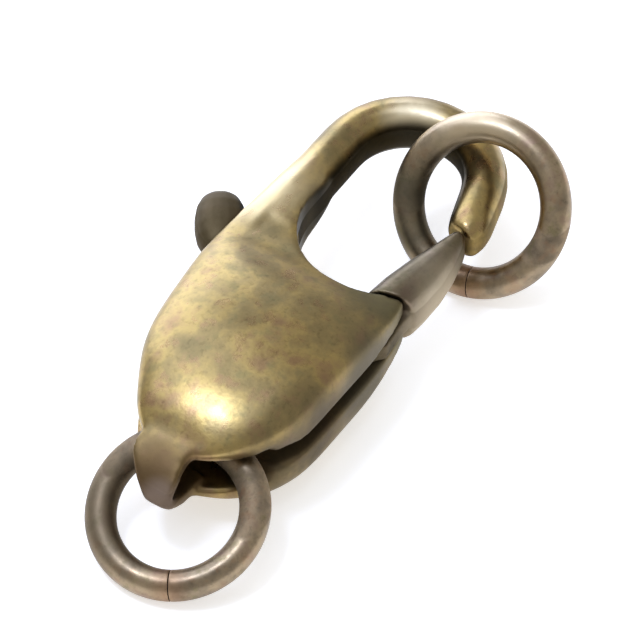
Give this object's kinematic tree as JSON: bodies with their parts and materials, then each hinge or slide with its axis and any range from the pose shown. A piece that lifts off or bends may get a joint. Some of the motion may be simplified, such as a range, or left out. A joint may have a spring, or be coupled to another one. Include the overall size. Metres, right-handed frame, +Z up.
{
  "type": "lobster clasp",
  "caption": "Cast lobster-claw clasp with a sprung thumb lever between domed cheeks, a jump ring in its folded tail strap and another hooked through its claw.",
  "frame": {"origin": "on the surface that the clasp lies on, under the middle of its bounding box", "axes": "+X from the tail to the claw, +Y to the thumb tab's side, +Z up from the surface it lies on"},
  "size_m": [0.0174, 0.0088, 0.0039],
  "materials": {
    "aged_casting": "antique bronze plating, rubbed back on the domes",
    "aged_lever": "antique bronze plating, darker than the casting",
    "plain_pin": "drawn pin, dulled",
    "aged_wire": "drawn wire with antique bronze plating"
  },
  "bodies": {
    "clasp": {"clasp_body": "aged_casting", "pivot_pin": "plain_pin", "tail_ring": "aged_wire", "hook_ring": "aged_wire"},
    "lever": {"lever": "aged_lever"}
  },
  "joints": [
    {"name": "lever_pivot", "type": "hinge", "parent": "clasp", "child": "lever", "pos_m": [0.00026, -0.00125, 0.0019], "axis": [0, 0, 1], "range_deg": [0, 23], "stiffness_Nm_per_rad": 0.01, "springref_deg": -11.46}
  ]
}
